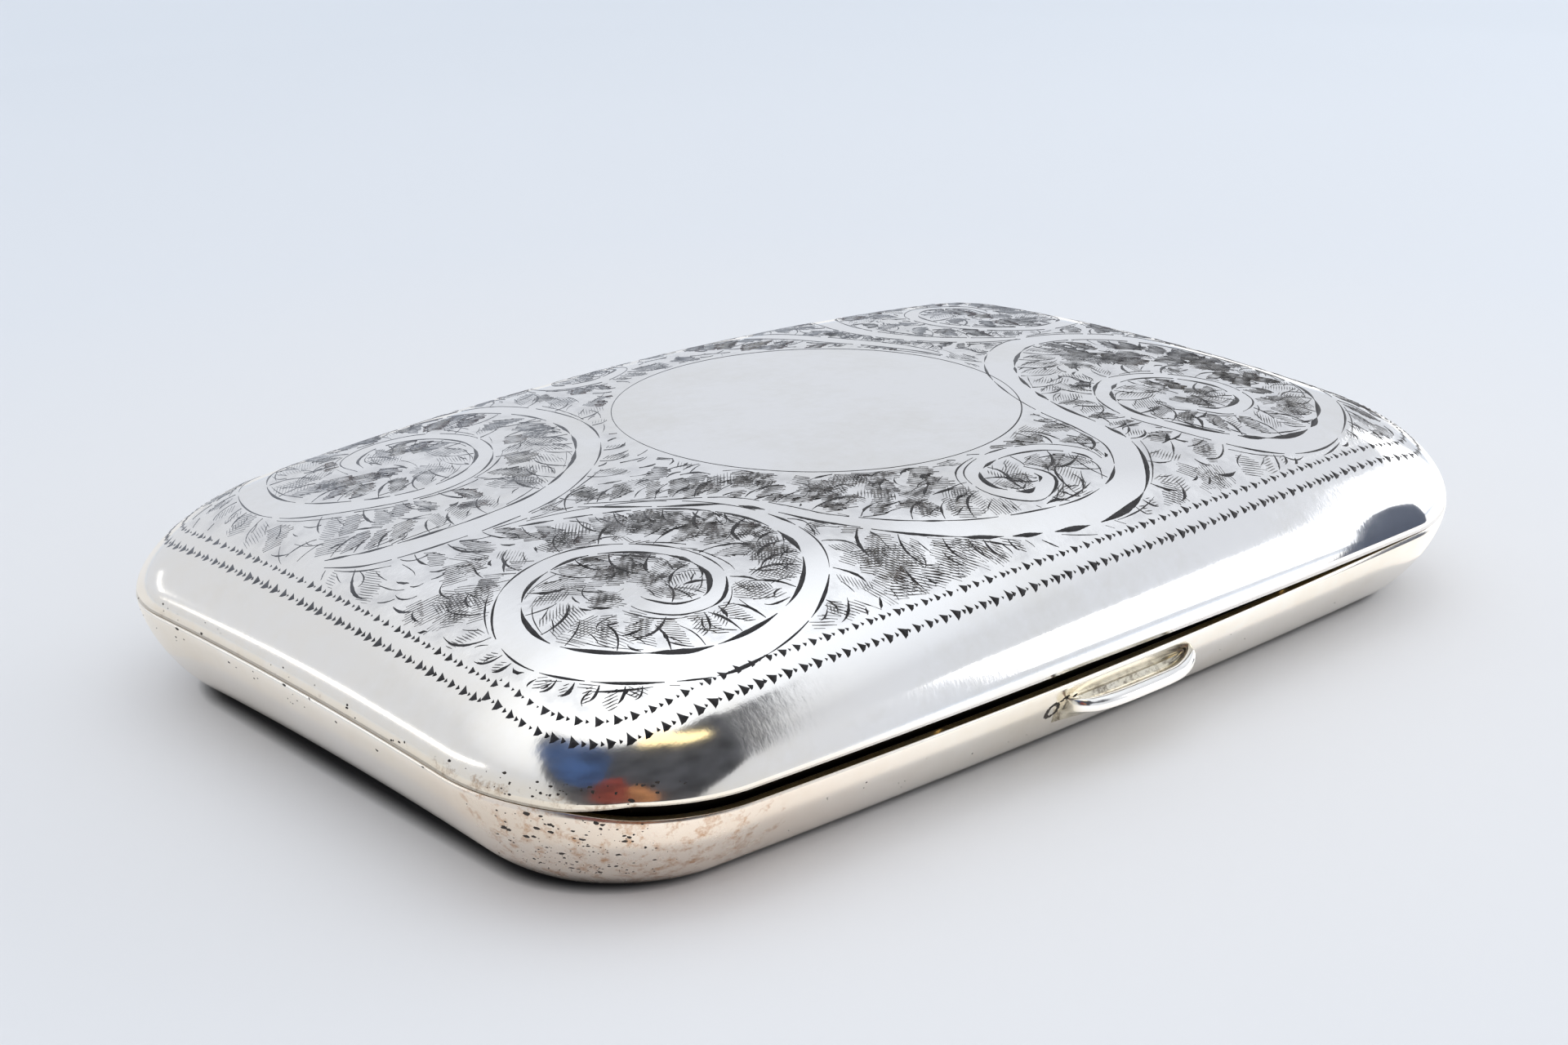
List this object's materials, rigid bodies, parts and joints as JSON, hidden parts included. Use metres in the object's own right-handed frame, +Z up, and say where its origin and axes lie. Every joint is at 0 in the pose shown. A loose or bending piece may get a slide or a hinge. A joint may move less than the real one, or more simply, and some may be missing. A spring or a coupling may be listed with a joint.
{
  "type": "silver card case",
  "caption": "Curved pillow-shaped silver pocket case for cards, with a hinged engraved lid, knuckle hinge, thumb piece and elastic card band.",
  "frame": {"origin": "on the surface it rests on, under the middle of its bounding box", "axes": "+X along the case, -Y towards the thumb piece and the opening side, +Y towards the hinge, +Z up through the lid"},
  "size_m": [0.0968, 0.068, 0.0184],
  "materials": {
    "silver_lid": "worn polished silver with dark engraved lines",
    "silver_base": "worn polished silver, warm tarnish and pits near the rim",
    "silver_hinge": "worn silver, dark in its joints",
    "silver_thumb": "rubbed bright silver",
    "gilt": "worn gilding on silver",
    "steel_pin": "plain drawn wire",
    "elastic": "fine ribbed elastic webbing"
  },
  "bodies": {
    "base": {"base_shell": "silver_base", "base_frame": "gilt", "base_hinge_bearer": "silver_hinge", "base_knuckle_1": "silver_hinge", "base_knuckle_3": "silver_hinge", "base_knuckle_5": "silver_hinge", "base_knuckle_7": "silver_hinge", "hinge_pin": "steel_pin", "pin_cap_left": "silver_hinge", "pin_cap_right": "silver_hinge", "thumb_piece": "silver_thumb", "catch_pips": "gilt", "band_bar_front": "gilt", "band_bar_back": "gilt", "card_band": "elastic"},
    "lid": {"lid_shell": "silver_lid", "lid_frame": "gilt", "lid_hinge_bearer": "silver_hinge", "lid_knuckle_2": "silver_hinge", "lid_knuckle_4": "silver_hinge", "lid_knuckle_6": "silver_hinge"}
  },
  "joints": [
    {"name": "lid_hinge", "type": "hinge", "parent": "base", "child": "lid", "pos_m": [0, 0.03277, 0.00733], "axis": [-1, 0, 0], "range_deg": [0, 165]}
  ]
}
